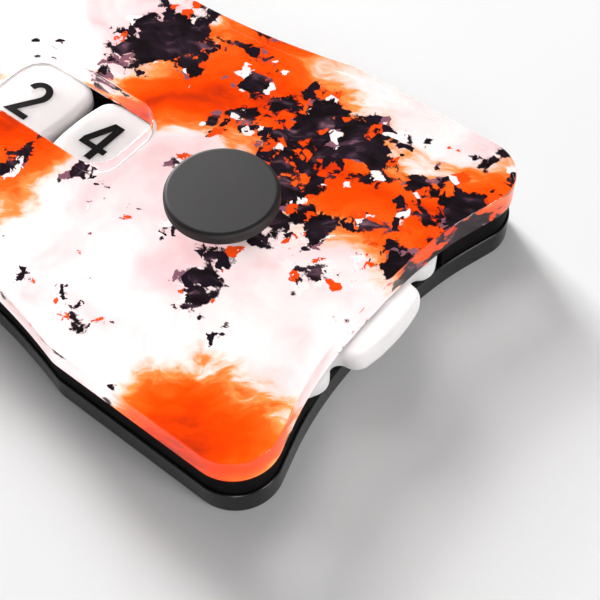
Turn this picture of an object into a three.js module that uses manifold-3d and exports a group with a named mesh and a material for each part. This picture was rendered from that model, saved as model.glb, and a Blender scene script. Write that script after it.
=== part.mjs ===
// A dual-dial life counter: two ten-lobed number dials turn side by side inside a thin case.
// Millimetres, seen from above: +X runs along the case, +Y is the top of the digits, +Z is up.
// The origin is the middle of the underside. The case is mirrored about X and about Y.

import * as THREE from "three";
import { mergeVertices } from "three/addons/utils/BufferGeometryUtils.js";
import Module from "manifold-3d";

const wasm = await Module();
wasm.setup();

// Dials
const dialRadius = 21.4;
const dialGap = 0.8;
const lobeCount = 10;
const lobeCornerRadius = 1.8;
const notchRadius = 1;
const notchDepth = 1.9;
const dialEdgeRadius = 0.7;

// Room round a dial: at its lobes, and above and below its faces
const dialClearance = 0.25;
const dialTopClearance = 0.1;
const dialBottomClearance = 0.25;

// Layers of the case, from the table up
const baseThickness = 2.9;
const spacerThickness = 2.75;
const filmThickness = 0.1;
const coverThickness = 3;
const plateEdgeRadius = 0.2;
const spacerSetBack = 0.3;
const filmSetBack = 0.15;

// Outline of the case: straight long sides with a shallow waist, hollowed short ends, flared corners
const chamberWall = 0.85;
const dialProtrusion = 2.75;
const endDishDepth = 5.7;
const endDishPower = 2.5;
const cornerRadius = 4.55;
const cornerReachShare = 1.9;
const waistMargin = 1.15;
const waistDepth = 2.65;
const waistCornerRadius = 4;

// Openings: the window through the cover, the ends where the lobes stand out, and the gap
// between the tips of the two spacers under the window
const windowLength = 19.3;
const windowWidth = 9.9;
const windowCornerRadius = 3;
const filmWindowMargin = 0.25;
const endOpeningWidth = 21.2;
const spacerTipMargin = 2;

// Pivot: a cap with a hollow post, clamped from below by a countersunk screw
const capDiameter = 11.5;
const capHeight = 1.35;
const capEdgeRadius = 0.5;
const capFootRadius = 0.12;
const postWall = 1;
const boreCrown = 0.75;
const screwDiameter = 2.8;
const screwTipGap = 0.4;
const screwTipChamfer = 0.3;
const screwHeadDiameter = 5.6;
const screwHeadHeight = 1.2;
const screwHeadRim = 0.2;
const screwHeadSink = 0.1;
const screwSocketDiameter = 2.3;
const screwSocketDepth = 0.7;
const baseWeb = 0.6;

// What a dial runs on: a sleeve round the post, a flat washer above and a wave washer below
const sleeveWall = 1;
const washerWidth = 2;
const washerRecessDepth = 0.4;
const washerRecessMargin = 0.2;
const waveWasherThickness = 0.2;
const waveCount = 3;
const filmHoleMargin = 0.3;

// Locating pins between the base and the spacers
const pinDiameter = 1.5;
const pinDepth = 1.5;
const pinChamfer = 0.2;
const pinWall = 1.7;
const pinAngle = THREE.MathUtils.degToRad(54);

// Clearances and the overrun of every cut
const fitClearance = 0.1;
const runningClearance = 0.08;
const washerClearance = 0.05;
const overrun = 1;

// Steps along curves
const roundSteps = 36;
const pinSteps = 16;
const chamberSteps = 96;
const waistSteps = 8;
const endSteps = 8;
const cornerSteps = 7;
const lobeSteps = 4;
const edgeSteps = 2;

// Heights of the layers
const baseTop = baseThickness;
const spacerTop = baseTop + spacerThickness;
const filmTop = spacerTop + filmThickness;
const coverTop = filmTop + coverThickness;

// Plan of the case and of the dials
const dialX = dialRadius + dialGap / 2;
const chamberRadius = dialRadius + dialClearance;
const halfWidth = chamberRadius + chamberWall + spacerSetBack;
const endMiddle = dialX + dialRadius - dialProtrusion;
const spacerTipY = windowWidth / 2 + spacerTipMargin;

// Radii round a pivot, from the axis out
const screwRadius = screwDiameter / 2;
const boreRadius = screwRadius + fitClearance;
const postRadius = boreRadius + postWall;
const postHoleRadius = postRadius + fitClearance;
const sleeveRadius = postHoleRadius + sleeveWall;
const dialBoreRadius = sleeveRadius + runningClearance;
const washerInnerRadius = dialBoreRadius + fitClearance;
const washerOuterRadius = washerInnerRadius + washerWidth;
const recessRadius = washerOuterRadius + washerRecessMargin;

// Heights at a pivot
const dialBottom = baseTop + dialBottomClearance;
const dialTop = spacerTop - dialTopClearance;
const screwNeck = screwHeadSink + screwHeadHeight;
const postSeat = screwNeck + baseWeb;
const postBottom = postSeat + fitClearance;
const boreTop = coverTop - boreCrown;
const upperWasherRoom = dialTopClearance + washerRecessDepth - 2 * washerClearance;
const waveWasherRoom = dialBottomClearance + washerRecessDepth - 2 * washerClearance;

const pinDistance = chamberRadius + pinWall + pinDiameter / 2;
const pinX = dialX + pinDistance * Math.cos(pinAngle);
const pinY = pinDistance * Math.sin(pinAngle);

const sides = [
  { name: "left", sign: -1 },
  { name: "right", sign: 1 },
];
const rows = [
  { name: "near", sign: -1 },
  { name: "far", sign: 1 },
];

const looks = {
  blackSheet: { color: "#1d1c1e", roughness: 0.45, metalness: 0 },
  clearSheet: { color: "#f4ecee", roughness: 0.06, metalness: 0, transparent: true, opacity: 0.3 },
  print: { color: "#f0b9ae", roughness: 0.5, metalness: 0 },
  dialWhite: { color: "#f4f3f2", roughness: 0.4, metalness: 0 },
  capBlack: { color: "#353233", roughness: 0.7, metalness: 0 },
  steel: { color: "#b7b9bc", roughness: 0.35, metalness: 1 },
  brass: { color: "#c2a25c", roughness: 0.35, metalness: 1 },
  nylon: { color: "#e9e6dc", roughness: 0.55, metalness: 0 },
};

function point(x, y) {
  return new THREE.Vector2(x, y);
}

function polar(distance, angle) {
  return point(distance * Math.cos(angle), distance * Math.sin(angle));
}

// Points of an arc, both ends included
function arc(centre, radius, from, to, steps) {
  const points = [];
  for (let i = 0; i <= steps; i += 1) {
    const angle = from + ((to - from) * i) / steps;
    points.push(polar(radius, angle).add(centre));
  }
  return points;
}

// The arc that rounds a corner between two straight directions
function roundedCorner(before, corner, after, radius, steps) {
  const toBefore = before.clone().sub(corner).normalize();
  const toAfter = after.clone().sub(corner).normalize();
  const half = Math.acos(toBefore.dot(toAfter)) / 2;
  const inward = toBefore.clone().add(toAfter).normalize();
  const centre = corner.clone().addScaledVector(inward, radius / Math.sin(half));
  const reach = radius / Math.tan(half);
  const start = corner.clone().addScaledVector(toBefore, reach).sub(centre).angle();
  const end = corner.clone().addScaledVector(toAfter, reach).sub(centre).angle();
  const turn = THREE.MathUtils.euclideanModulo(end - start + Math.PI, 2 * Math.PI) - Math.PI;
  return arc(centre, radius, start, start + turn, steps);
}

// The hollowed short end: how far out the edge lies at height y of the plan
function endX(y) {
  return endMiddle + endDishDepth * (y / halfWidth) ** endDishPower;
}

// How far the hollow runs out there for each step up the plan
function endSlope(y) {
  return (endDishPower * (endX(y) - endMiddle)) / y;
}

// A quarter of the case outline, from the middle of the waist round to the middle of the short end.
// The corner's arc touches the long side and the line that leaves the hollow at reach.
function caseQuarter() {
  const waistHalf = dialX - waistMargin;
  const waistRadius = (waistHalf ** 2 + waistDepth ** 2) / (2 * waistDepth);
  const waistCentre = point(0, halfWidth - waistDepth + waistRadius);
  const sweep = Math.asin(waistHalf / waistRadius);
  const down = -Math.PI / 2;
  const waist = arc(waistCentre, waistRadius, down, down + sweep, waistSteps);
  const waistEnd = waist.pop();
  const reachY = halfWidth - cornerReachShare * cornerRadius;
  const reach = point(endX(reachY), reachY);
  const tip = point(reach.x + endSlope(reachY) * (halfWidth - reachY), halfWidth);
  const waistCorner = roundedCorner(waist.at(-1), waistEnd, tip, waistCornerRadius, edgeSteps);
  const corner = roundedCorner(waistEnd, tip, reach, cornerRadius, cornerSteps);
  const end = [];
  for (let i = 0; i <= endSteps; i += 1) {
    const y = reachY * (1 - i / endSteps);
    end.push(point(endX(y), y));
  }
  return [...waist, ...waistCorner, ...corner, ...end];
}

// The whole outline, drawn in from the edge of the case by setBack
function caseOutline(setBack) {
  const quarter = caseQuarter();
  const turned = (xSign, ySign) => quarter.map((p) => point(p.x * xSign, p.y * ySign));
  const loop = [
    ...turned(1, 1).slice(0, -1),
    ...turned(1, -1).reverse().slice(0, -1),
    ...turned(-1, -1).slice(0, -1),
    ...turned(-1, 1).reverse().slice(0, -1),
  ];
  return loop.map((p, i) => {
    const along = loop[(i + 1) % loop.length].clone().sub(loop.at(i - 1)).normalize();
    return p.clone().addScaledVector(point(along.y, -along.x), setBack);
  });
}

// A dial's edge: lobes with round corners, parted by round-bottomed notches.
// Each corner arc touches the dial's circle from inside and the notch's circle from outside.
function dialOutline() {
  const notchCentre = dialRadius - notchDepth + notchRadius;
  const cornerCentre = dialRadius - lobeCornerRadius;
  const reach = lobeCornerRadius + notchRadius;
  const spread = Math.acos(
    (cornerCentre ** 2 + notchCentre ** 2 - reach ** 2) / (2 * cornerCentre * notchCentre),
  );
  const lean = polar(cornerCentre, spread).negate().add(point(notchCentre, 0)).angle() - 2 * Math.PI;
  const pitch = (2 * Math.PI) / lobeCount;
  const points = [];
  for (let i = 0; i < lobeCount; i += 1) {
    const lobe = i * pitch;
    const edge = lobe + pitch / 2 - spread;
    const notch = lobe + pitch / 2;
    const next = notch + spread;
    const outer = arc(point(0, 0), dialRadius, lobe - (edge - lobe), edge, lobeSteps);
    const first = arc(polar(cornerCentre, edge), lobeCornerRadius, edge, notch - lean, lobeSteps);
    const floor = arc(
      polar(notchCentre, notch), notchRadius, notch + Math.PI - lean, notch + Math.PI + lean, lobeSteps,
    );
    const second = arc(polar(cornerCentre, next), lobeCornerRadius, notch + lean, next, lobeSteps);
    for (const stretch of [outer, first, floor, second]) {
      points.push(...stretch.slice(0, -1));
    }
  }
  return points;
}

function circle(radius, x) {
  return arc(point(x, 0), radius, 0, 2 * Math.PI, roundSteps).slice(0, -1);
}

function windowOutline(margin) {
  const x = windowLength / 2 + margin;
  const y = windowWidth / 2 + margin;
  const corners = [point(x, y), point(-x, y), point(-x, -y), point(x, -y)];
  return corners.flatMap((corner, i) => {
    return roundedCorner(
      corners.at(i - 1), corner, corners[(i + 1) % corners.length], windowCornerRadius, cornerSteps,
    );
  });
}

// A flat sheet between two heights, with its holes; edge is how much its edges are rounded off
function sheet(outline, holes, bottom, top, edge, steps = 1) {
  const shape = new THREE.Shape(outline);
  for (const hole of holes) {
    shape.holes.push(new THREE.Path(hole));
  }
  const geometry = new THREE.ExtrudeGeometry(shape, {
    depth: top - bottom - 2 * edge,
    bevelEnabled: edge > 0,
    bevelThickness: edge,
    bevelSize: edge,
    bevelOffset: -edge,
    bevelSegments: steps,
  });
  return geometry.translate(0, 0, bottom + edge);
}

// A turned solid: its profile is [radius, height] pairs that run counter-clockwise
function turning(profile, steps = roundSteps) {
  const points = profile.map(([radius, height]) => point(radius, height));
  return new THREE.LatheGeometry(points, steps).rotateX(Math.PI / 2);
}

function ring(inner, outer, bottom, top) {
  return turning([[inner, bottom], [outer, bottom], [outer, top], [inner, top], [inner, bottom]]);
}

function block(x0, x1, y0, y1, z0, z1) {
  const geometry = new THREE.BoxGeometry(x1 - x0, y1 - y0, z1 - z0);
  return geometry.translate((x0 + x1) / 2, (y0 + y1) / 2, (z0 + z1) / 2);
}

// A closed mesh as a solid that can be cut; triangles that the merge has flattened are left out
function solid(geometry) {
  const bare = geometry.clone();
  bare.deleteAttribute("normal");
  bare.deleteAttribute("uv");
  const merged = mergeVertices(bare);
  const index = merged.index.array;
  const kept = [];
  for (let i = 0; i < index.length; i += 3) {
    const [a, b, c] = index.slice(i, i + 3);
    if (a !== b && b !== c && c !== a) {
      kept.push(a, b, c);
    }
  }
  return new wasm.Manifold(new wasm.Mesh({
    numProp: 3,
    vertProperties: merged.attributes.position.array,
    triVerts: new Uint32Array(kept),
  }));
}

function surface(cut) {
  const mesh = cut.getMesh();
  const geometry = new THREE.BufferGeometry();
  geometry.setAttribute("position", new THREE.BufferAttribute(mesh.vertProperties, 3));
  geometry.setIndex(new THREE.BufferAttribute(mesh.triVerts, 1));
  geometry.computeVertexNormals();
  return geometry;
}

// The geometry with every cutter taken out of it
function cutBy(geometry, cutters) {
  let cut = solid(geometry);
  for (const cutter of cutters) {
    cut = cut.subtract(solid(cutter));
  }
  return surface(cut);
}

function piece(name, geometry, look, x = 0, y = 0) {
  const mesh = new THREE.Mesh(geometry, new THREE.MeshStandardMaterial(look));
  mesh.name = name;
  mesh.position.set(x, y, 0);
  return mesh;
}

// Through the base at a pivot: the screw's countersink, its hole and the seat of the post
function pivotHoleInBase() {
  const mouth = screwHeadDiameter / 2 + fitClearance;
  const hole = screwRadius + 2 * fitClearance;
  return turning([
    [0, -overrun],
    [mouth, -overrun],
    [mouth, screwHeadSink + screwHeadRim],
    [hole, screwNeck],
    [hole, postSeat],
    [postHoleRadius, postSeat],
    [postHoleRadius, baseTop + overrun],
    [0, baseTop + overrun],
  ]);
}

// Blind holes for the locating pins, on both sides of the joint between base and spacers
function pinHoles() {
  const radius = pinDiameter / 2 + fitClearance;
  const depth = pinDepth + fitClearance;
  return sides.flatMap((side) => rows.map((row) => {
    const hole = turning([
      [0, baseTop - depth],
      [radius, baseTop - depth],
      [radius, baseTop + depth],
      [0, baseTop + depth],
    ], pinSteps);
    return hole.translate(side.sign * pinX, row.sign * pinY, 0);
  }));
}

function basePlate() {
  const holes = sides.map((side) => pivotHoleInBase().translate(side.sign * dialX, 0, 0));
  const plate = sheet(caseOutline(0), [], 0, baseTop, plateEdgeRadius);
  return cutBy(plate, [...holes, ...pinHoles()]);
}

// The strips between base and cover: walled round the dials, open at both ends, with a tongue
// that fills the space between the dials up to a tip under the window's edge
function spacer(row) {
  const far = endX(halfWidth) + overrun;
  const low = baseTop - overrun;
  const high = spacerTop + overrun;
  const chamber = [[0, low], [chamberRadius, low], [chamberRadius, high], [0, high]];
  const cutters = [
    ...sides.map((side) => turning(chamber, chamberSteps).translate(side.sign * dialX, 0, 0)),
    block(-dialX, dialX, -spacerTipY, spacerTipY, low, high),
    block(dialX, far, -endOpeningWidth / 2, endOpeningWidth / 2, low, high),
    block(-far, -dialX, -endOpeningWidth / 2, endOpeningWidth / 2, low, high),
    block(-far, far, Math.min(0, -row.sign * far), Math.max(0, -row.sign * far), low, high),
    ...pinHoles(),
  ];
  return cutBy(sheet(caseOutline(spacerSetBack), [], baseTop, spacerTop, 0), cutters);
}

function printedFilm() {
  const radius = sleeveRadius + filmHoleMargin;
  const holes = [windowOutline(filmWindowMargin), circle(radius, -dialX), circle(radius, dialX)];
  return sheet(caseOutline(filmSetBack), holes, spacerTop, filmTop, 0);
}

function topCover() {
  const holes = [windowOutline(0), circle(postHoleRadius, -dialX), circle(postHoleRadius, dialX)];
  return sheet(caseOutline(0), holes, filmTop, coverTop, plateEdgeRadius);
}

// A lobed dial with its bore, and a recess in each face for a washer
function dial() {
  const blank = sheet(dialOutline(), [], dialBottom, dialTop, dialEdgeRadius, edgeSteps);
  const bore = turning([
    [0, dialBottom - overrun],
    [recessRadius, dialBottom - overrun],
    [recessRadius, dialBottom + washerRecessDepth],
    [dialBoreRadius, dialBottom + washerRecessDepth],
    [dialBoreRadius, dialTop - washerRecessDepth],
    [recessRadius, dialTop - washerRecessDepth],
    [recessRadius, dialTop + overrun],
    [0, dialTop + overrun],
  ]);
  return cutBy(blank, [bore]);
}

// A round cap on the cover, in one with the hollow post that goes down to the base
function pivotCap() {
  const capRadius = capDiameter / 2;
  const capTop = coverTop + capHeight;
  const foot = point(capRadius - capFootRadius, coverTop + capFootRadius);
  const crown = point(capRadius - capEdgeRadius, capTop - capEdgeRadius);
  const pairs = (points) => points.map((p) => [p.x, p.y]);
  return turning([
    [0, boreTop],
    [boreRadius, boreTop],
    [boreRadius, postBottom],
    [postRadius, postBottom],
    [postRadius, coverTop],
    ...pairs(arc(foot, capFootRadius, -Math.PI / 2, 0, 1)),
    ...pairs(arc(crown, capEdgeRadius, 0, Math.PI / 2, edgeSteps)),
    [0, capTop],
  ]);
}

// Countersunk screw, with a hexagon socket in its head
function pivotScrew() {
  const tip = boreTop - screwTipGap;
  const headRadius = screwHeadDiameter / 2;
  const blank = turning([
    [0, screwHeadSink],
    [headRadius, screwHeadSink],
    [headRadius, screwHeadSink + screwHeadRim],
    [screwRadius, screwNeck],
    [screwRadius, tip - screwTipChamfer],
    [screwRadius - screwTipChamfer, tip],
    [0, tip],
  ]);
  const floor = screwHeadSink + screwSocketDepth;
  const socketRadius = screwSocketDiameter / 2;
  const hexagon = turning([[0, -overrun], [socketRadius, -overrun], [socketRadius, floor], [0, floor]], 6);
  return cutBy(blank, [hexagon]);
}

function pivotSleeve() {
  return ring(postHoleRadius, sleeveRadius, baseTop, filmTop);
}

function upperWasher() {
  const top = spacerTop - washerClearance;
  return ring(washerInnerRadius, washerOuterRadius, top - upperWasherRoom, top);
}

// A flat ring bent into waves, which presses the dial up against the upper washer
function waveWasher() {
  const bottom = baseTop + washerClearance;
  const swing = (waveWasherRoom - waveWasherThickness) / 2;
  const geometry = ring(
    washerInnerRadius, washerOuterRadius, bottom + swing, bottom + swing + waveWasherThickness,
  );
  const places = geometry.attributes.position;
  for (let i = 0; i < places.count; i += 1) {
    const angle = Math.atan2(places.getY(i), places.getX(i));
    places.setZ(i, places.getZ(i) + swing * Math.sin(waveCount * angle));
  }
  return geometry;
}

function locatingPin() {
  const radius = pinDiameter / 2;
  const bottom = baseTop - pinDepth;
  const top = baseTop + pinDepth;
  return turning([
    [0, bottom],
    [radius - pinChamfer, bottom],
    [radius, bottom + pinChamfer],
    [radius, top - pinChamfer],
    [radius - pinChamfer, top],
    [0, top],
  ], pinSteps);
}

const counter = new THREE.Group();
counter.add(
  piece("base_plate", basePlate(), looks.blackSheet),
  piece("printed_film", printedFilm(), looks.print),
  piece("top_cover", topCover(), looks.clearSheet),
);
for (const row of rows) {
  counter.add(piece(`spacer_${row.name}`, spacer(row), looks.blackSheet));
}
for (const side of sides) {
  const x = side.sign * dialX;
  counter.add(
    piece(`dial_${side.name}`, dial(), looks.dialWhite, x),
    piece(`pivot_cap_${side.name}`, pivotCap(), looks.capBlack, x),
    piece(`pivot_screw_${side.name}`, pivotScrew(), looks.steel, x),
    piece(`pivot_sleeve_${side.name}`, pivotSleeve(), looks.brass, x),
    piece(`upper_washer_${side.name}`, upperWasher(), looks.nylon, x),
    piece(`wave_washer_${side.name}`, waveWasher(), looks.steel, x),
  );
  for (const row of rows) {
    const name = `locating_pin_${row.name}_${side.name}`;
    counter.add(piece(name, locatingPin(), looks.steel, side.sign * pinX, row.sign * pinY));
  }
}

export default counter;
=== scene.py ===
# A dual-dial life counter: its finishes, and its shapes in finer form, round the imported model.
# Metres, in the model's own frame: +X runs along the case, +Y is the top of the digits, +Z is up.
import math

import bpy
from mathutils import Matrix, Quaternion, Vector


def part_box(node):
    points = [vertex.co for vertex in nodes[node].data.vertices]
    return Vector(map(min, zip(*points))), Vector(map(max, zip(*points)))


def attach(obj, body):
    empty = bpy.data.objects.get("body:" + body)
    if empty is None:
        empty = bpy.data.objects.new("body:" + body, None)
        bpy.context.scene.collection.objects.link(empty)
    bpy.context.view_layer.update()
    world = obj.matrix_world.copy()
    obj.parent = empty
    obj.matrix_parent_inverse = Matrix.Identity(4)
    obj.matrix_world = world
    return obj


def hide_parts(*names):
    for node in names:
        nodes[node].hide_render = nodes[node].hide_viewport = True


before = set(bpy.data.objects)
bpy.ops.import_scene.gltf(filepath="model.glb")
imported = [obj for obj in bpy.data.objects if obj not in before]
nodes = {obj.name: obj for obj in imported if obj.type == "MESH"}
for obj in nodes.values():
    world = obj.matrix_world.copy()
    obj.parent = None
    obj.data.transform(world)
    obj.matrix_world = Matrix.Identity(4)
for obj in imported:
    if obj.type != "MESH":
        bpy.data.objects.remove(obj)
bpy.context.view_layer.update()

mm = 0.001

# Heights and main sizes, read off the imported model
base_low, base_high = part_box("base_plate")
film_low, film_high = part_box("printed_film")
cover_low, cover_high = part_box("top_cover")
dial_low, dial_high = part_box("dial_right")
cap_low, cap_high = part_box("pivot_cap_right")
screw_low, screw_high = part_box("pivot_screw_right")
sleeve_low, sleeve_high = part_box("pivot_sleeve_right")
pin_low, pin_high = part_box("locating_pin_far_right")
washer_low, washer_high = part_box("upper_washer_right")

dial_x = (dial_low.x + dial_high.x) / 2
dial_radius = (dial_high.x - dial_low.x) / 2
half_width = base_high.y
cap_radius = (cap_high.x - cap_low.x) / 2
screw_head_radius = (screw_high.x - screw_low.x) / 2
sleeve_radius = (sleeve_high.x - sleeve_low.x) / 2
washer_radius = (washer_high.x - washer_low.x) / 2
pin_radius = (pin_high.x - pin_low.x) / 2
pin_place = (pin_low + pin_high) / 2

# Outline of the case
dial_protrusion = 2.75 * mm
end_dish_depth = 5.7 * mm
end_dish_power = 2.5
corner_radius = 4.55 * mm
corner_reach_share = 1.9
waist_margin = 1.15 * mm
waist_depth = 2.65 * mm
waist_corner_radius = 4 * mm
plate_edge = 0.2 * mm
cover_edge = 0.16 * mm
sheet_set_back = 0.03 * mm
film_set_back = 0.05 * mm
spacer_set_back = 0.3 * mm

# Window
window_length = 19.3 * mm
window_width = 9.9 * mm
window_corner_radius = 3 * mm
film_window_margin = 0.13 * mm
film_window_shift = 0.12 * mm

# Openings of the middle layer: a chamber for each dial, both ends, and a gap under the window
chamber_clearance = 0.25 * mm
chamber_radius = dial_radius + chamber_clearance
end_opening_width = 21.2 * mm
spacer_tip_margin = 2 * mm
spacer_tip_y = window_width / 2 + spacer_tip_margin

# Dials
lobe_count = 10
lobe_corner_radius = 1.8 * mm
notch_radius = 1 * mm
notch_depth = 1.9 * mm
dial_edge = 0.7 * mm
recess_depth = 0.4 * mm
recess_margin = 0.2 * mm
running_clearance = 0.08 * mm

# Pivots
fit_clearance = 0.1 * mm
sleeve_wall = 1 * mm
post_wall = 1 * mm
bore_crown = 0.75 * mm
cap_edge = 0.5 * mm
cap_foot = 0.12 * mm
base_web = 0.6 * mm
screw_head_height = 1.2 * mm
screw_head_rim = 0.2 * mm
screw_tip_chamfer = 0.3 * mm
screw_edge = 0.08 * mm
socket_sides = 6
socket_radius = 1.15 * mm
socket_depth = 0.7 * mm
socket_lead = 0.12 * mm
socket_mouth_share = 1.12
socket_cone_share = 1.25
socket_tip_radius = 0.1 * mm
film_hole_margin = 3 * fit_clearance
base_hole_margin = 2 * fit_clearance
overrun = 1 * mm

# Digits: printed ink, a touch proud of the dial and keyed into it. The 2 and the 4 are shifted, and each
# dial's digits raised or lowered, as in the photograph. A corner is drawn out by up to 1 / stretch_limit
digit_height = 5.4 * mm
digit_width = 3.25 * mm
wider_digit_share = {4: 1.14}
digit_stroke = 0.88 * mm
level_stroke_share = 0.8
stretch_limit = 0.4
ink_proud = 0.02 * mm
ink_depth = 0.05 * mm
digit_reach = 16.4 * mm
digit_shift = {2: -0.13 * mm, 4: 0.91 * mm}
digit_rise = {"left": -0.12 * mm, "right": 0.14 * mm}
digit_shown = {"left": 2, "right": 4}

# How far the print is bonded into the cover, so that no air shows between them, and how much of the
# print's light the cover's top face throws back
bond = 0.03 * mm
cover_return_share = 0.3

# Steps along curves
outline_steps = 24
round_steps = 96
edge_steps = 4
digit_steps = 28
lobe_steps = 10
screw_steps = 64
pin_steps = 32

# Faces that meet at less than this many degrees are shaded as one
soft_angle = 40
crisp_angle = 30

# Points of a mesh that lie nearer than seam_gap are one. The normal of a side has at most side_up_share
# of up, and the cover's outer sides lie past its window and its holes by more than side_margin
seam_gap = 0.0005 * mm
side_up_share = 0.3
side_margin = 1 * mm

sides = {"left": -1, "right": 1}
rows = {"near": -1, "far": 1}

post_hole_radius = sleeve_radius - sleeve_wall
post_radius = post_hole_radius - fit_clearance
bore_radius = post_radius - post_wall
screw_radius = bore_radius - fit_clearance
dial_bore_radius = sleeve_radius + running_clearance
recess_radius = washer_radius + recess_margin
screw_neck = screw_low.z + screw_head_height
post_seat = screw_neck + base_web


# Shaping

def only(piece):
    """Selects this object alone."""
    bpy.ops.object.select_all(action="DESELECT")
    piece.select_set(True)
    bpy.context.view_layer.objects.active = piece
    return piece


def settle(piece):
    """Leaves the object at the origin, with its place in its mesh."""
    only(piece)
    bpy.ops.object.transform_apply(location=True, rotation=True, scale=True)
    return piece


def tidy(piece):
    """Closes the seams of a mesh and turns its faces outwards."""
    only(piece)
    bpy.ops.object.mode_set(mode="EDIT")
    bpy.ops.mesh.select_all(action="SELECT")
    bpy.ops.mesh.remove_doubles(threshold=seam_gap)
    bpy.ops.mesh.normals_make_consistent(inside=False)
    bpy.ops.object.mode_set(mode="OBJECT")
    return piece


def smooth(piece, angle=soft_angle):
    """Shades rounded faces smoothly, while flat ones stay flat."""
    only(piece)
    bpy.ops.object.shade_smooth_by_angle(angle=math.radians(angle))
    modifier = piece.modifiers.new("flat_faces_lead", "WEIGHTED_NORMAL")
    modifier.keep_sharp = True
    bpy.ops.object.modifier_apply(modifier=modifier.name)
    return piece


def joined(piece, tools, operation):
    """Cuts the tools out of a piece, or unites them with it, and removes them."""
    for tool in tools:
        only(piece)
        modifier = piece.modifiers.new("work", "BOOLEAN")
        modifier.operation = operation
        modifier.solver = "EXACT"
        modifier.object = tool
        bpy.ops.object.modifier_apply(modifier=modifier.name)
        bpy.data.objects.remove(tool)
    return piece


def arc(centre, radii, start, end, steps):
    """Points of an arc in degrees, of a circle or an ellipse, both ends included."""
    across, up = radii if isinstance(radii, tuple) else (radii, radii)
    points = []
    for i in range(steps + 1):
        angle = math.radians(start + (end - start) * i / steps)
        points.append(Vector((centre[0] + across * math.cos(angle), centre[1] + up * math.sin(angle))))
    return points


def circle(x, y, radius):
    """Points of a whole circle."""
    return arc((x, y), radius, 0, 360, round_steps)[:-1]


def corner_arc(before, corner, after, radius, steps):
    """The arc that rounds a corner between two straight directions."""
    to_before = (before - corner).normalized()
    to_after = (after - corner).normalized()
    half = to_before.angle(to_after) / 2
    centre = corner + (to_before + to_after).normalized() * radius / math.sin(half)
    reach = radius / math.tan(half)
    first = corner + to_before * reach - centre
    last = corner + to_after * reach - centre
    start = math.degrees(math.atan2(first.y, first.x))
    turn = math.degrees(math.atan2(last.y, last.x)) - start
    return arc(centre, radius, start, start + (turn + 180) % 360 - 180, steps)


def end_x(y):
    """How far out the hollowed short end lies at height y of the plan."""
    return dial_x + dial_radius - dial_protrusion + end_dish_depth * (y / half_width) ** end_dish_power


def end_slope(y):
    """How far the hollow runs out at height y for each step up the plan."""
    return end_dish_power * (end_x(y) - end_x(0)) / y


def case_outline(set_back):
    """The edge of the case, drawn in by set_back: a waist, flared corners and a hollow at each end."""
    waist_half = dial_x - waist_margin
    waist_radius = (waist_half**2 + waist_depth**2) / (2 * waist_depth)
    sweep = math.degrees(math.asin(waist_half / waist_radius))
    waist = arc((0, half_width - waist_depth + waist_radius), waist_radius, -90, sweep - 90, outline_steps)
    waist_end = waist.pop()
    reach = half_width - corner_reach_share * corner_radius
    hollow = Vector((end_x(reach), reach))
    tip = Vector((hollow.x + end_slope(reach) * (half_width - reach), half_width))
    quarter = waist + corner_arc(waist[-1], waist_end, tip, waist_corner_radius, edge_steps)
    quarter += corner_arc(waist_end, tip, hollow, corner_radius, outline_steps)
    for i in range(outline_steps + 1):
        y = reach * (1 - i / outline_steps)
        quarter.append(Vector((end_x(y), y)))

    def mirrored(across, up):
        return [Vector((p.x * across, p.y * up)) for p in quarter]

    loop = mirrored(1, 1)[:-1] + mirrored(1, -1)[:0:-1] + mirrored(-1, -1)[:-1] + mirrored(-1, 1)[:0:-1]
    inset = []
    for i, p in enumerate(loop):
        along = (loop[(i + 1) % len(loop)] - loop[i - 1]).normalized()
        inset.append(p + Vector((along.y, -along.x)) * set_back)
    return inset


def window_outline(margin, shift=0):
    """The edge of the window, wider by margin and moved up the plan by shift."""
    x = window_length / 2 + margin
    y = window_width / 2 + margin
    corners = [Vector((i * x, j * y + shift)) for i, j in ((1, 1), (-1, 1), (-1, -1), (1, -1))]
    points = []
    for i, corner in enumerate(corners):
        after = corners[(i + 1) % len(corners)]
        points += corner_arc(corners[i - 1], corner, after, window_corner_radius, outline_steps)
    return points


def dial_outline(x):
    """Ten lobes with round corners, parted by round-bottomed notches; neighbouring arcs touch."""
    notch_centre = dial_radius - notch_depth + notch_radius
    corner_centre = dial_radius - lobe_corner_radius
    reach = lobe_corner_radius + notch_radius
    cosine = (corner_centre**2 + notch_centre**2 - reach**2) / (2 * corner_centre * notch_centre)
    spread = math.degrees(math.acos(cosine))
    across = notch_centre - corner_centre * math.cos(math.radians(spread))
    lean = math.degrees(math.atan2(-corner_centre * math.sin(math.radians(spread)), across))
    pitch = 360 / lobe_count

    def out(distance, angle):
        angle = math.radians(angle)
        return (x + distance * math.cos(angle), distance * math.sin(angle))

    points = []
    for i in range(lobe_count):
        lobe = i * pitch
        notch = lobe + pitch / 2
        edge = notch - spread
        stretches = [
            arc((x, 0), dial_radius, 2 * lobe - edge, edge, lobe_steps),
            arc(out(corner_centre, edge), lobe_corner_radius, edge, notch - lean, lobe_steps),
            arc(out(notch_centre, notch), notch_radius, notch + 180 - lean, notch + 180 + lean, lobe_steps),
            arc(out(corner_centre, notch + spread), lobe_corner_radius, notch + lean, notch + spread,
                lobe_steps),
        ]
        for stretch in stretches:
            points += stretch[:-1]
    return points


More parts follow.
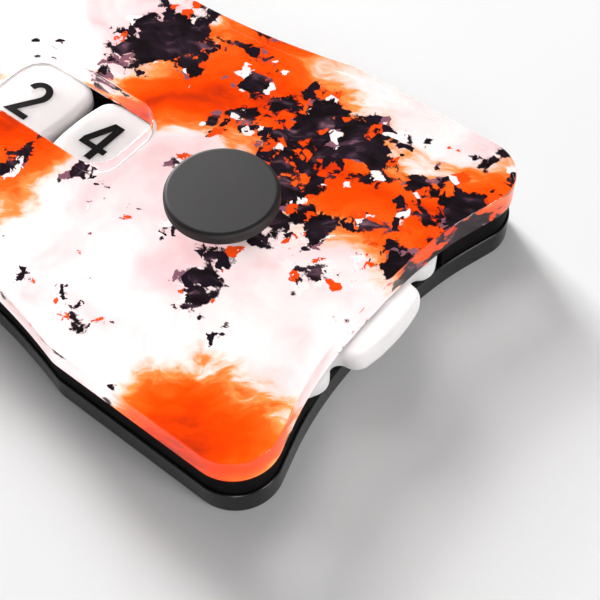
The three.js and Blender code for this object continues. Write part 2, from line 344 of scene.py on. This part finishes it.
def sheet(name, loops, bottom, top, edge):
    """A flat curve, filled between its loops, given its thickness and rounded edges and made a mesh."""
    curve = bpy.data.curves.new(name, "CURVE")
    curve.dimensions = "2D"
    curve.fill_mode = "BOTH"
    curve.extrude = (top - bottom) / 2 - edge
    curve.bevel_depth = edge
    curve.bevel_resolution = edge_steps
    curve.offset = -edge
    for loop in loops:
        spline = curve.splines.new("POLY")
        spline.points.add(len(loop) - 1)
        spline.use_cyclic_u = True
        for point, place in zip(spline.points, loop):
            point.co = (place[0], place[1], 0, 1)
    piece = bpy.data.objects.new(name, curve)
    bpy.context.scene.collection.objects.link(piece)
    only(piece)
    bpy.ops.object.convert(target="MESH")
    piece = bpy.context.view_layer.objects.active
    piece.location.z = (bottom + top) / 2
    return tidy(settle(piece))


def turned(name, x, y, stations, steps=round_steps):
    """A turned solid: a round face that is extruded and resized from one (radius, height) to the next."""
    radius, height = stations[0]
    bpy.ops.object.select_all(action="DESELECT")
    bpy.ops.mesh.primitive_circle_add(
        vertices=steps, radius=radius, fill_type="NGON", location=(x, y, height))
    piece = bpy.context.active_object
    piece.name = name
    bpy.ops.object.mode_set(mode="EDIT")
    for wider, higher in stations[1:]:
        bpy.ops.mesh.extrude_region_move(TRANSFORM_OT_translate={"value": (0, 0, higher - height)})
        share = wider / radius
        bpy.ops.transform.resize(value=(share, share, 1), center_override=(x, y, higher))
        radius, height = wider, higher
    bpy.ops.object.mode_set(mode="OBJECT")
    return tidy(settle(piece))


def block(name, low, high):
    """A box between two corners."""
    low, high = Vector(low), Vector(high)
    bpy.ops.object.select_all(action="DESELECT")
    bpy.ops.mesh.primitive_cube_add(size=1, location=(low + high) / 2)
    piece = bpy.context.active_object
    piece.name = name
    piece.scale = high - low
    return settle(piece)


# Digits, drawn as strokes in a box that reaches w to each side and h up and down

def stroke(path, closed=False):
    """The outline of a stroke along a path: one loop, or two round a closed path. Its level parts are
    thinner than its upright ones, because it is drawn taller and then pressed down."""
    path = [Vector((p.x, p.y / level_stroke_share)) for p in path]
    left, right = [], []
    count = len(path)
    for i, p in enumerate(path):
        ahead = path[(i + 1) % count] - p if closed or i + 1 < count else p - path[i - 1]
        behind = p - path[i - 1] if closed or i else ahead
        first = Vector((-behind.y, behind.x)).normalized()
        second = Vector((-ahead.y, ahead.x)).normalized()
        middle = (first + second).normalized()
        out = middle * digit_stroke / 2 / max(middle.dot(second), stretch_limit)
        left.append(p + out)
        right.append(p - out)
    loops = [left, right] if closed else [left + right[::-1]]
    return [[Vector((p.x, p.y * level_stroke_share)) for p in loop] for loop in loops]


def digit_strokes(digit):
    """The outlines of a digit's strokes; a 9 is a 6 turned half round."""
    w = (digit_width - digit_stroke) / 2 * wider_digit_share.get(digit, 1)
    h = (digit_height - digit_stroke * level_stroke_share) / 2
    end = digit_stroke / 2
    foot = end * level_stroke_share
    half_turn = digit == 9
    if digit == 0:
        paths = [(arc((0, 0), (w, h), 0, 360, 2 * digit_steps)[:-1], True)]
    elif digit == 1:
        paths = [
            ([Vector((0.3 * w, -h - foot)), Vector((0.3 * w, h + foot))], False),
            ([Vector((-0.65 * w, 0.5 * h)), Vector((-0.1 * w, 0.72 * h)), Vector((0.3 * w, h))], False),
        ]
    elif digit == 2:
        bend = arc((-0.01 * w, 0.48 * h), (0.99 * w, 0.52 * h), 172, -38, digit_steps)
        paths = [(bend + [Vector((-0.72 * w, -h)), Vector((w + end, -h))], False)]
    elif digit == 3:
        paths = [
            (arc((-0.05 * w, 0.53 * h), (0.88 * w, 0.47 * h), 165, -95, digit_steps), False),
            (arc((0, -0.46 * h), (w, 0.54 * h), 95, -165, digit_steps), False),
        ]
    elif digit == 4:
        bar = -0.465 * h
        paths = [
            ([Vector((0.49 * w, h)), Vector((0.03 * w, h)), Vector((-0.97 * w, -0.26 * h)),
              Vector((-0.97 * w, bar)), Vector((w + end, bar))], False),
            ([Vector((0.49 * w, -h - foot)), Vector((0.49 * w, h + foot))], False),
        ]
    elif digit == 5:
        flag = [Vector((0.85 * w, h)), Vector((-0.62 * w, h)), Vector((-0.86 * w, -0.02 * h))]
        bowl = arc((0, -0.42 * h), (w, 0.58 * h), 125, -160, digit_steps)
        paths = [(flag + bowl, False)]
    elif digit == 7:
        paths = [([Vector((-w - end, h)), Vector((0.88 * w, h)), Vector((0.1 * w, 0)),
                   Vector((-0.32 * w, -h - foot))], False)]
    elif digit == 8:
        paths = [
            (arc((0, 0.53 * h), (0.86 * w, 0.47 * h), 0, 360, digit_steps)[:-1], True),
            (arc((0, -0.46 * h), (w, 0.54 * h), 0, 360, digit_steps)[:-1], True),
        ]
    else:
        paths = [
            (arc((0, -0.42 * h), (w, 0.58 * h), 0, 360, digit_steps)[:-1], True),
            (arc((0.06 * w, 0), (1.06 * w, h), 205, 42, digit_steps), False),
        ]
    if half_turn:
        paths = [([-p for p in path], closed) for path, closed in paths]
    return [stroke(path, closed) for path, closed in paths]


def digit_piece(digit):
    """One digit as a thin solid of ink, its middle at the origin of the plan."""
    solids = []
    for i, loops in enumerate(digit_strokes(digit)):
        solids.append(sheet(f"digit_{digit}_{i}", loops, dial_high.z - ink_depth, dial_high.z + ink_proud, 0))
    return tidy(joined(solids[0], solids[1:], "UNION"))


def digits_of_dial(side):
    """The ten digits of a dial, one on each lobe, in order; the one that shows in the window is upright."""
    sign = sides[side]
    copies = []
    for digit, ink in enumerate(digit_models):
        step = digit - digit_shown[side]
        place = Matrix.Translation((sign * dial_x, 0, 0)) @ Matrix.Rotation(
            math.radians(-sign * step * 360 / lobe_count), 4, "Z")
        reach = digit_reach + digit_shift.get(digit, 0)
        place @= Matrix.Translation((-sign * reach, digit_rise[side], 0))
        copy = bpy.data.objects.new(f"digit_{digit}_{side}", ink.data.copy())
        copy.data.transform(place)
        bpy.context.scene.collection.objects.link(copy)
        copies.append(copy)
    only(copies[0])
    for copy in copies:
        copy.select_set(True)
    bpy.ops.object.join()
    piece = bpy.context.view_layer.objects.active
    piece.name = f"dial_digits_{side}"
    return piece


# Pieces

def case_sheets():
    """The cover, the print on its underside and the base; the cover's lower edges stay sharp."""
    pivots = [sign * dial_x for sign in sides.values()]
    cover_holes = [circle(x, 0, post_hole_radius) for x in pivots]
    film_holes = [circle(x, 0, sleeve_radius + film_hole_margin) for x in pivots]
    cover = sheet("clear_cover", [case_outline(sheet_set_back), window_outline(0), *cover_holes],
                  cover_low.z - cover_edge, cover_high.z, cover_edge)
    far = cover_high.x + overrun
    below = block("below_cover", (-far, -far, cover_low.z - overrun), (far, far, cover_low.z))
    joined(cover, [below], "DIFFERENCE")
    print_window = window_outline(film_window_margin, film_window_shift)
    film = sheet("cover_print", [case_outline(film_set_back), print_window, *film_holes],
                 film_low.z, film_high.z + bond, 0)
    base = sheet("base_sheet", [case_outline(sheet_set_back)], base_low.z, base_high.z, plate_edge)
    mouth = screw_head_radius + fit_clearance
    hole = screw_radius + base_hole_margin
    tools = []
    for x in pivots:
        tools.append(turned("countersink", x, 0, [
            (mouth, base_low.z - overrun), (mouth, screw_low.z + screw_head_rim), (hole, screw_neck),
            (hole, post_seat), (post_hole_radius, post_seat), (post_hole_radius, base_high.z + overrun)]))
        for up in rows.values():
            radius = pin_radius + fit_clearance
            tools.append(turned("pin_hole", math.copysign(pin_place.x, x), up * pin_place.y, [
                (radius, pin_low.z - fit_clearance), (radius, base_high.z + overrun)], pin_steps))
    joined(base, tools, "DIFFERENCE")
    return smooth(tidy(cover)), smooth(film), smooth(tidy(base))


def middle_strip(row):
    """One of the two strips between base and cover, walled round the dials and open at both ends."""
    strip = sheet(f"middle_strip_{row}", [case_outline(spacer_set_back)], base_high.z, film_low.z, 0)
    far = cover_high.x + overrun
    low, high = base_high.z - overrun, film_low.z + overrun
    end = end_opening_width / 2
    tools = [block("window_gap", (-dial_x, -spacer_tip_y, low), (dial_x, spacer_tip_y, high))]
    for sign in sides.values():
        x = sign * dial_x
        walls = [(chamber_radius, low), (chamber_radius, high)]
        tools.append(turned("chamber", x, 0, walls, 2 * round_steps))
        tools.append(block("end_opening", (min(x, sign * far), -end, low), (max(x, sign * far), end, high)))
    kept = rows[row]
    tools.append(block("other_half", (-far, min(0, -kept * far), low), (far, max(0, -kept * far), high)))
    return smooth(tidy(joined(strip, tools, "DIFFERENCE")), crisp_angle)


def dial_wheel(side):
    """A lobed dial with its bore and, above and below, a recess for a washer."""
    x = sides[side] * dial_x
    wheel = sheet(f"dial_wheel_{side}", [dial_outline(x)], dial_low.z, dial_high.z, dial_edge)
    bore = turned("bore", x, 0, [
        (recess_radius, dial_low.z - overrun), (recess_radius, dial_low.z + recess_depth),
        (dial_bore_radius, dial_low.z + recess_depth), (dial_bore_radius, dial_high.z - recess_depth),
        (recess_radius, dial_high.z - recess_depth), (recess_radius, dial_high.z + overrun)])
    return smooth(tidy(joined(wheel, [bore], "DIFFERENCE")))


def cap_with_post(side):
    """A round cap with a soft edge, in one with its hollow post."""
    bore_top = cover_high.z - bore_crown
    crown = arc((cap_radius - cap_edge, cap_high.z - cap_edge), cap_edge, 0, 90, edge_steps)
    foot = arc((cap_radius - cap_foot, cover_high.z + cap_foot), cap_foot, -90, 0, edge_steps)
    stations = [
        (bore_radius, bore_top), (bore_radius, cap_low.z), (post_radius, cap_low.z),
        (post_radius, cover_high.z)]
    stations += [(p.x, p.y) for p in foot + crown]
    return smooth(turned(f"cap_and_post_{side}", sides[side] * dial_x, 0, stations))


def countersunk_screw(side):
    """A screw, head down, with a six-sided socket that has a wider mouth and a drilled end."""
    x = sides[side] * dial_x
    screw = turned(f"countersunk_screw_{side}", x, 0, [
        (screw_head_radius - screw_edge, screw_low.z), (screw_head_radius, screw_low.z + screw_edge),
        (screw_head_radius, screw_low.z + screw_head_rim), (screw_radius, screw_neck),
        (screw_radius, screw_high.z - screw_tip_chamfer),
        (screw_radius - screw_tip_chamfer, screw_high.z)], screw_steps)
    mouth = socket_mouth_share * socket_radius
    socket = turned("socket", x, 0, [
        (mouth, screw_low.z - overrun), (mouth, screw_low.z),
        (socket_radius, screw_low.z + socket_lead), (socket_radius, screw_low.z + socket_depth),
        (socket_tip_radius, screw_low.z + socket_cone_share * socket_depth)], socket_sides)
    return smooth(tidy(joined(screw, [socket], "DIFFERENCE")), crisp_angle)


# Materials

# Refraction, how far a roughness varies to each side, and the sizes of patches and marks
acrylic_ior = 1.49
plastic_ior = 1.5
satin_swing = 0.05
metal_swing = 0.08
tone_patch_size = 9 * mm
wear_patch_size = 4 * mm
cut_mark_spacing = 0.22 * mm
tool_mark_depth = 0.004 * mm


def linear(colour):
    """An sRGB hex colour as linear RGBA."""
    parts = [int(colour[i:i + 2], 16) / 255 for i in (1, 3, 5)]
    return (*[c / 12.92 if c <= 0.04045 else ((c + 0.055) / 1.055) ** 2.4 for c in parts], 1)


def add(tree, kind, inputs=None, **settings):
    """Adds a node, with its settings, and sets or links its inputs."""
    node = tree.nodes.new(kind)
    for name, value in settings.items():
        setattr(node, name, value)
    for name, value in (inputs or {}).items():
        if isinstance(value, bpy.types.NodeSocket):
            tree.links.new(value, node.inputs[name])
        else:
            node.inputs[name].default_value = value
    return node


def material(name):
    """An empty material with its Principled shader and its output."""
    made = bpy.data.materials.new(name)
    made.use_nodes = True
    tree = made.node_tree
    return made, tree, tree.nodes["Principled BSDF"], tree.nodes["Material Output"]


def ramp(tree, value, stops, interpolation="LINEAR"):
    """A colour ramp over value, from (position, hex colour) stops."""
    node = add(tree, "ShaderNodeValToRGB", {"Fac": value})
    band = node.color_ramp
    band.interpolation = interpolation
    while len(band.elements) < len(stops):
        band.elements.new(1)
    for element, (position, colour) in zip(band.elements, stops):
        element.position = position
        element.color = linear(colour)
    return node.outputs["Color"]


def grain(tree, size, detail=3, vector=None, roughness=0.5):
    """Noise with grains of a real size."""
    place = vector or add(tree, "ShaderNodeTexCoord").outputs["Object"]
    return add(tree, "ShaderNodeTexNoise", {
        "Vector": place, "Scale": 1 / size, "Detail": detail, "Roughness": roughness})


def figure(tree, operation, first, second=0.0):
    """One step of arithmetic."""
    return add(tree, "ShaderNodeMath", {0: first, 1: second}, operation=operation).outputs[0]


def rise(tree, value, start, end):
    """A straight ramp from 0 at start to 1 at end."""
    node = add(tree, "ShaderNodeMapRange", {"Value": value, "From Min": start, "From Max": end})
    return node.outputs["Result"]


def over(tree, share, under, top):
    """Lays the colour top over the colour under, by share."""
    node = add(tree, "ShaderNodeMix", {"Factor": share, 6: under, 7: top}, data_type="RGBA")
    return node.outputs[2]


def two_tones(tree, noise, dark, pale):
    """Lets the middle part of a noise go from a dark tone to a pale one."""
    return ramp(tree, noise.outputs["Fac"], [(0.35, dark), (0.65, pale)])


def warped(tree, place, size, reach, detail=3):
    """A place pushed about by noise, as ink is by water."""
    drift = grain(tree, size, detail, place)
    shift = add(tree, "ShaderNodeVectorMath", {0: drift.outputs["Color"], 1: (0.5, 0.5, 0.5)},
                operation="SUBTRACT")
    pushed = add(tree, "ShaderNodeVectorMath", {0: shift.outputs[0], "Scale": reach}, operation="SCALE")
    return add(tree, "ShaderNodeVectorMath", {0: place, 1: pushed.outputs[0]}, operation="ADD").outputs[0]


def between(tree, value, low, high):
    """Maps the middle part of a noise to the range from low to high."""
    return add(tree, "ShaderNodeMapRange", {
        "Value": value, "From Min": 0.3, "From Max": 0.7, "To Min": low, "To Max": high}).outputs["Result"]


def bump(tree, height, depth):
    """A surface that stands up by a real depth where height is 1."""
    return add(tree, "ShaderNodeBump", {"Height": height, "Distance": depth}).outputs["Normal"]


def moulded(name, dark, pale, size, roughness, depth, gloss=0.5, glow=0.0, glow_reach=0.6 * mm):
    """Moulded plastic: two close tones, a fine grain of this size and depth, a satin that varies a little,
    and a glow of the light that the plastic takes in."""
    made, tree, shader, _ = material(name)
    fine = grain(tree, size)
    wide = grain(tree, tone_patch_size, 2)
    tree.links.new(two_tones(tree, wide, dark, pale), shader.inputs["Base Color"])
    tree.links.new(between(tree, fine.outputs["Fac"], roughness - satin_swing, roughness + satin_swing),
                   shader.inputs["Roughness"])
    tree.links.new(bump(tree, fine.outputs["Fac"], depth), shader.inputs["Normal"])
    shader.inputs["IOR"].default_value = plastic_ior
    shader.inputs["Specular IOR Level"].default_value = gloss
    shader.inputs["Subsurface Weight"].default_value = glow
    shader.inputs["Subsurface Radius"].default_value = (1, 1, 1)
    shader.inputs["Subsurface Scale"].default_value = glow_reach
    return made


def metal(name, dark, pale, roughness, grain_size):
    """Bare or plated metal: a slightly uneven tone and fine tool marks in its gloss."""
    made, tree, shader, _ = material(name)
    marks = grain(tree, grain_size, 4)
    tree.links.new(two_tones(tree, marks, dark, pale), shader.inputs["Base Color"])
    tree.links.new(between(tree, marks.outputs["Fac"], roughness - metal_swing, roughness + metal_swing),
                   shader.inputs["Roughness"])
    tree.links.new(bump(tree, marks.outputs["Fac"], tool_mark_depth), shader.inputs["Normal"])
    shader.inputs["Metallic"].default_value = 1
    return made


def clear_acrylic(name, roughness, marks=0.0, leaving="#f9f7f7"):
    """Cast acrylic, which bends what is under it, with fine upright marks where it was cut. Lamps shine
    through it, so the print under it is lit. Less of their light gets out again through a side, which
    throws much of it back inside; leaving is the tint of what gets out there."""
    made, tree, shader, output = material(name)
    shader.inputs["Base Color"].default_value = linear("#fdfbfb")
    shader.inputs["IOR"].default_value = acrylic_ior
    shader.inputs["Transmission Weight"].default_value = 1
    handling = grain(tree, wear_patch_size, 5)
    tree.links.new(between(tree, handling.outputs["Fac"], roughness * 0.7, roughness * 1.3),
                   shader.inputs["Roughness"])
    if marks:
        place = add(tree, "ShaderNodeTexCoord").outputs["Object"]
        upright = add(tree, "ShaderNodeMapping", {"Vector": place, "Scale": (1, 1, 0.06)}).outputs["Vector"]
        lines = grain(tree, cut_mark_spacing, 3, upright)
        tree.links.new(bump(tree, lines.outputs["Fac"], marks), shader.inputs["Normal"])
    inside = add(tree, "ShaderNodeNewGeometry").outputs["Backfacing"]
    tint = over(tree, inside, linear(leaving), linear("#f9f7f7"))
    lets_through = add(tree, "ShaderNodeBsdfTransparent", {"Color": tint})
    lamp_ray = add(tree, "ShaderNodeLightPath").outputs["Is Shadow Ray"]
    mixed = add(tree, "ShaderNodeMixShader", {0: lamp_ray, 1: shader.outputs[0], 2: lets_through.outputs[0]})
    tree.links.new(mixed.outputs[0], output.inputs["Surface"])
    return made


def ink_pattern(tree):
    """The colour of the print: a made-up pattern of a warm stream of ink on pale paper, with dark blots."""
    place = add(tree, "ShaderNodeTexCoord").outputs["Object"]
    turned_place = add(tree, "ShaderNodeMapping", {
        "Vector": place, "Rotation": (0, 0, math.radians(-24)),
        "Location": (-3 * mm, -1 * mm, 0)}).outputs["Vector"]
    flow = warped(tree, turned_place, 17 * mm, 17 * mm, 4)
    along = add(tree, "ShaderNodeMapping", {"Vector": flow, "Scale": (0.35, 1, 1)}).outputs["Vector"]

    # How far a place lies from the middle of the stream, frayed by streaks and patches
    parts = add(tree, "ShaderNodeSeparateXYZ", {0: flow}).outputs
    swing = figure(tree, "SINE", figure(tree, "MULTIPLY", parts["X"], 1 / (8.5 * mm)))
    bend = figure(tree, "MULTIPLY", swing, 7 * mm)
    from_middle = figure(tree, "ABSOLUTE", figure(tree, "SUBTRACT", parts["Y"], bend))
    frayed = from_middle
    streaks = grain(tree, 2.6 * mm, 8, along, 0.62)
    patches = grain(tree, 11 * mm, 3, flow)
    for noise, reach in ((streaks, 12 * mm), (patches, 14 * mm)):
        part = figure(tree, "SUBTRACT", noise.outputs["Fac"], 0.5)
        frayed = figure(tree, "ADD", frayed, figure(tree, "MULTIPLY", part, reach))
    stream = rise(tree, frayed, 12 * mm, -3 * mm)

    # A second patch of the same ink by one corner
    patch_middle = (38 * mm, -24 * mm, 0)
    spread = add(tree, "ShaderNodeVectorMath", {0: place, 1: patch_middle}, operation="DISTANCE")
    fraying = figure(tree, "SUBTRACT", frayed, from_middle)
    patch = rise(tree, figure(tree, "ADD", spread.outputs["Value"], fraying), 15 * mm, 4 * mm)
    depth = figure(tree, "MAXIMUM", stream, patch)

    # Pale paper with a rose tinge, under the warm ink of the stream
    tinge = grain(tree, 13 * mm, 5, flow)
    paper = ramp(tree, tinge.outputs["Fac"], [
        (0.4, "#ffffff"), (0.5, "#fef6f5"), (0.58, "#fce3e4"), (0.68, "#efc3c6")])
    warm = ramp(tree, depth, [
        (0.0, "#fdeae8"), (0.12, "#fbc9ac"), (0.22, "#fb8f4a"), (0.34, "#fc5a14"), (0.56, "#f24300"),
        (0.74, "#e03600"), (0.9, "#b32a06"), (1.0, "#7c1c0a")])
    washed = over(tree, rise(tree, depth, 0.0, 0.22), paper, warm)

    # Dark blots with ragged edges, which crowd near the stream
    blots = grain(tree, 4 * mm, 9, warped(tree, place, 5 * mm, 4 * mm), 0.6)
    crowd = figure(tree, "MULTIPLY", grain(tree, 14 * mm, 2, turned_place).outputs["Fac"], 0.8)
    by_stream = figure(tree, "MULTIPLY", rise(tree, from_middle, 17 * mm, 7 * mm), 0.12)
    ink = figure(tree, "ADD", figure(tree, "ADD", blots.outputs["Fac"], crowd), by_stream)
    ink = figure(tree, "SUBTRACT", ink, figure(tree, "MULTIPLY", patch, 0.2))
    dark = ramp(tree, grain(tree, 1.6 * mm, 6, along).outputs["Fac"], [
        (0.44, "#100a0d"), (0.56, "#20171f"), (0.64, "#43303c"), (0.72, "#7d5a66")])
    inked = over(tree, rise(tree, ink, 1.085, 1.11), washed, dark)

    # Small chips of every ink along the edges of the blots
    cells = add(tree, "ShaderNodeTexVoronoi", {
        "Vector": warped(tree, place, 1.5 * mm, 1.5 * mm), "Scale": 1 / (1.25 * mm)})
    pick = add(tree, "ShaderNodeSeparateXYZ", {0: cells.outputs["Color"]}).outputs
    rim = figure(tree, "MULTIPLY", rise(tree, ink, 0.99, 1.06), rise(tree, ink, 1.2, 1.12))
    chipped = rise(tree, figure(tree, "MULTIPLY", pick["X"], rim), 0.6, 0.62)
    chips = ramp(tree, pick["Y"], [
        (0.0, "#17101a"), (0.4, "#e8430a"), (0.62, "#fdf3f2"), (0.85, "#7a5160")], "CONSTANT")
    return over(tree, chipped, inked, chips)


def cloud_print():
    """Inkjet print, bonded to the cover, so that its own surface throws no gloss back. The cover's top face
    sends much of the print's light back down to it, which brightens it, so its own colour is made darker."""
    made, tree, shader, _ = material("printed_ink_clouds")
    seen = ink_pattern(tree)
    sent_back = add(tree, "ShaderNodeVectorMath", {
        0: seen, 1: (cover_return_share,) * 3, 2: (1, 1, 1)}, operation="MULTIPLY_ADD")
    own = add(tree, "ShaderNodeVectorMath", {0: seen, 1: sent_back.outputs[0]}, operation="DIVIDE")
    tree.links.new(own.outputs[0], shader.inputs["Base Color"])
    shader.inputs["Roughness"].default_value = 0.6
    shader.inputs["Specular IOR Level"].default_value = 0
    return made


def pale_floor():
    """A matt pale table, even all over."""
    made, tree, shader, _ = material("pale_table")
    tone = grain(tree, 60 * mm, 2)
    tree.links.new(ramp(tree, tone.outputs["Fac"], [(0.3, "#f1f1f1"), (0.7, "#f3f3f3")]),
                   shader.inputs["Base Color"])
    shader.inputs["Roughness"].default_value = 0.9
    shader.inputs["Specular IOR Level"].default_value = 0.1
    return made


def wear(piece, finish):
    """Gives the whole piece one material."""
    piece.data.materials.clear()
    piece.data.materials.append(finish)
    return piece


def wear_second(piece, finish, chosen):
    """Gives the faces for which chosen is true a second material."""
    piece.data.materials.append(finish)
    for face in piece.data.polygons:
        if chosen(face):
            face.material_index = 1


def is_outer_side(face):
    """Whether a face of the cover is part of its outer sides, and not of the window or of a post's hole."""
    past_holes = abs(face.center.x) > dial_x + post_hole_radius + side_margin
    past_window = abs(face.center.y) > window_width / 2 + side_margin
    return abs(face.normal.z) < side_up_share and (past_holes or past_window)


def carries_print(face):
    """Whether a face of the film is part of its top or of its sides."""
    return face.normal.z > -side_up_share


def dressed(piece, body, slot, *replaced):
    """Says which body a piece rides on and hides the nodes that it stands for; its slot is not used."""
    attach(piece, body)
    if replaced:
        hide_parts(*replaced)
    return piece


# Assembly

# Cast acrylic sheet, polished: a clear mirror on top, with the print deep under it
polished_acrylic = clear_acrylic("clear_cast_acrylic", 0.02)
# The sides of the same sheet, cut by laser: fine upright marks blur what shows through them
acrylic_edge = clear_acrylic("laser_cut_acrylic_edge", 0.05, marks=0.0008 * mm, leaving="#c4c2c2")
# Cast acrylic sheet, black through and through: a deep tone, with a gleam along its cut sides
black_acrylic = moulded("black_cast_acrylic", "#060505", "#080707", 0.5 * mm, 0.24, 0.001 * mm, gloss=0.38)
# Inkjet ink on film, bonded under the cover: strong colour that has no gloss of its own
print_finish = cloud_print()
# The back of the printed film, which is white polyester: a plain, matt, warm white
film_back = moulded("white_film_back", "#dedcda", "#e6e4e2", 0.4 * mm, 0.6, 0.002 * mm)
# Moulded ABS: light sinks into its white, so that shadows on it stay pale and edges look soft
white_abs = moulded("white_moulded_abs", "#dbd8d8", "#dfdcdc", 0.35 * mm, 0.5, 0.004 * mm,
                    gloss=0.08, glow=1, glow_reach=3.5 * mm)
# Pad-printed ink: dense and nearly black, with next to no gloss
digit_ink = moulded("black_pad_print", "#0d0a0b", "#131011", 0.25 * mm, 0.5, 0.002 * mm, gloss=0.01)
# Moulded nylon with an etched finish: dark grey with an even sheen. Its grain is drawn coarser than
# the real one, so that it shows
cap_nylon = moulded("matte_black_nylon", "#1e1a1b", "#221e1f", 0.14 * mm, 0.6, 0.012 * mm, gloss=0.36)
# Black sheet with sawn, matt sides: the darkest band of the case
strip_black = moulded("matte_black_strip", "#0a0708", "#0d0a0b", 0.3 * mm, 0.6, 0.004 * mm, gloss=0.05)
# Natural nylon, punched from sheet: a waxy off-white
washer_nylon = moulded("natural_nylon", "#e4e0d4", "#ece9df", 0.3 * mm, 0.55, 0.004 * mm)
# Zinc-plated steel: a cool grey shine with a faint mottle
zinc = metal("zinc_plated_steel", "#b4b8bc", "#cdd0d2", 0.3, 0.3 * mm)
# Turned brass: a warm yellow shine with fine tool marks
brass = metal("turned_brass", "#b8924a", "#d2b06a", 0.3, 0.25 * mm)
# Spring steel, ground bright: an even grey shine
spring_steel = metal("bright_spring_steel", "#a4a6a8", "#bdbfc0", 0.28, 0.2 * mm)

cover, film, base = case_sheets()
wear(cover, polished_acrylic)
wear_second(cover, acrylic_edge, is_outer_side)
wear(film, film_back)
wear_second(film, print_finish, carries_print)
wear(base, black_acrylic)
dressed(cover, "case", "clear_acrylic", "top_cover")
dressed(film, "case", "printed_film", "printed_film")
dressed(base, "case", "black_acrylic", "base_plate")

digit_models = [digit_piece(digit) for digit in range(lobe_count)]
for side in sides:
    dressed(wear(dial_wheel(side), white_abs), f"{side}_dial", "white_abs", f"dial_{side}")
    dressed(wear(digits_of_dial(side), digit_ink), f"{side}_dial", None)
    dressed(wear(cap_with_post(side), cap_nylon), "case", "matte_black_nylon", f"pivot_cap_{side}")
    dressed(wear(countersunk_screw(side), zinc), "case", "zinc_steel", f"pivot_screw_{side}")
    wear(nodes[f"pivot_sleeve_{side}"], brass)
    wear(nodes[f"upper_washer_{side}"], washer_nylon)
    wear(nodes[f"wave_washer_{side}"], spring_steel)
    for row in rows:
        wear(nodes[f"locating_pin_{row}_{side}"], spring_steel)
for row in rows:
    dressed(wear(middle_strip(row), strip_black), "case", "black_acrylic", f"spacer_{row}")
for ink in digit_models:
    bpy.data.objects.remove(ink)

# Table

table_width = 4

bpy.ops.object.select_all(action="DESELECT")
bpy.ops.mesh.primitive_plane_add(size=table_width, location=(0, 0, 0))
table = bpy.context.active_object
table.name = "table"
wear(table, pale_floor())


# Light: a small and a wide softbox behind the counter to its left, weak ones off its right end, above that
# end and off its near corner, a low strip that only shows in gloss, and a pale room

lamp_distance = 1.2


def softbox(name, azimuth, elevation, size, strength):
    """A lamp that faces the counter, of this width and height; strength is what it adds to a level
    white surface."""
    across = math.radians(azimuth)
    up = math.radians(elevation)
    away = Vector((math.cos(across) * math.cos(up), math.sin(across) * math.cos(up), math.sin(up)))
    lamp = bpy.data.lights.new(name, "AREA")
    lamp.shape = "RECTANGLE"
    lamp.size, lamp.size_y = size
    lamp.energy = strength * math.pi**2 * lamp_distance**2 / math.sin(up)
    holder = bpy.data.objects.new(name, lamp)
    holder.location = away * lamp_distance
    holder.rotation_mode = "QUATERNION"
    holder.rotation_quaternion = away.to_track_quat("Z", "Y")
    holder.visible_camera = False
    bpy.context.scene.collection.objects.link(holder)
    return holder


key_lamp = softbox("key_softbox", 157, 21.5, (0.34, 0.26), 0.63)
softbox("wide_softbox", 150, 18, (1.0, 0.5), 0.17)
softbox("end_softbox", 5, 11, (0.5, 0.4), 0.11)
softbox("upper_softbox", 15, 52, (0.5, 0.5), 0.04)
softbox("near_softbox", -51, 30, (0.36, 0.3), 0.075)
strip_lamp = softbox("strip_softbox", -48, 5, (0.34, 0.06), 0.03)
strip_lamp.visible_diffuse = False

# The caps throw no hard shadow on the print, as in the photograph
unshaded = bpy.data.collections.new("throws_no_key_shadow")
for side in sides:
    unshaded.objects.link(bpy.data.objects[f"cap_and_post_{side}"])
for link in unshaded.collection_objects:
    link.light_linking.link_state = "EXCLUDE"
key_lamp.light_linking.blocker_collection = unshaded

# The room is dimmer high up, where the caps and the cover mirror it, than low down, and it is white to the
# camera. The fade's shares are 0 at the level of the table and 1 straight overhead
room_low_level = 0.22
room_high_level = 0.065
room_fade_start_share = 0.35
room_fade_end_share = 0.55

world = bpy.data.worlds.new("pale_room")
bpy.context.scene.world = world
world.use_nodes = True
room = world.node_tree
background = room.nodes["Background"]
direction = add(room, "ShaderNodeTexCoord").outputs["Generated"]
upward = add(room, "ShaderNodeSeparateXYZ", {0: direction}).outputs["Z"]
room_level = add(room, "ShaderNodeMapRange", {
    "Value": upward, "From Min": room_fade_start_share, "From Max": room_fade_end_share,
    "To Min": room_low_level, "To Max": room_high_level}).outputs["Result"]
to_camera = add(room, "ShaderNodeLightPath").outputs["Is Camera Ray"]
room_strength = add(room, "ShaderNodeMix", {"Factor": to_camera, 2: room_level, 3: 1.0}, data_type="FLOAT")
room.links.new(room_strength.outputs[0], background.inputs["Strength"])
background.inputs["Color"].default_value = (1, 1, 1, 1)

# Camera, fitted to the case's edges in the photograph
sensor_width = 36
nearest_seen = 5 * mm
photo_width = 600
focal_pixels = 1270.3
camera_yaw = math.radians(129.306)
camera_pitch = math.radians(53.986)
camera_roll = math.radians(0.702)
camera_place = Vector((78.887, -57.96, 103.259)) * mm

looking = Vector((
    math.cos(camera_pitch) * math.cos(camera_yaw),
    math.cos(camera_pitch) * math.sin(camera_yaw),
    -math.sin(camera_pitch)))
lens = bpy.data.cameras.new("camera")
lens.sensor_width = sensor_width
lens.lens = sensor_width * focal_pixels / photo_width
lens.clip_start = nearest_seen
camera = bpy.data.objects.new("camera", lens)
camera.location = camera_place
camera.rotation_mode = "QUATERNION"
camera.rotation_quaternion = looking.to_track_quat("-Z", "Y") @ Quaternion((0, 0, 1), -camera_roll)
bpy.context.scene.collection.objects.link(camera)
bpy.context.scene.camera = camera
bpy.context.scene.view_settings.view_transform = "Standard"
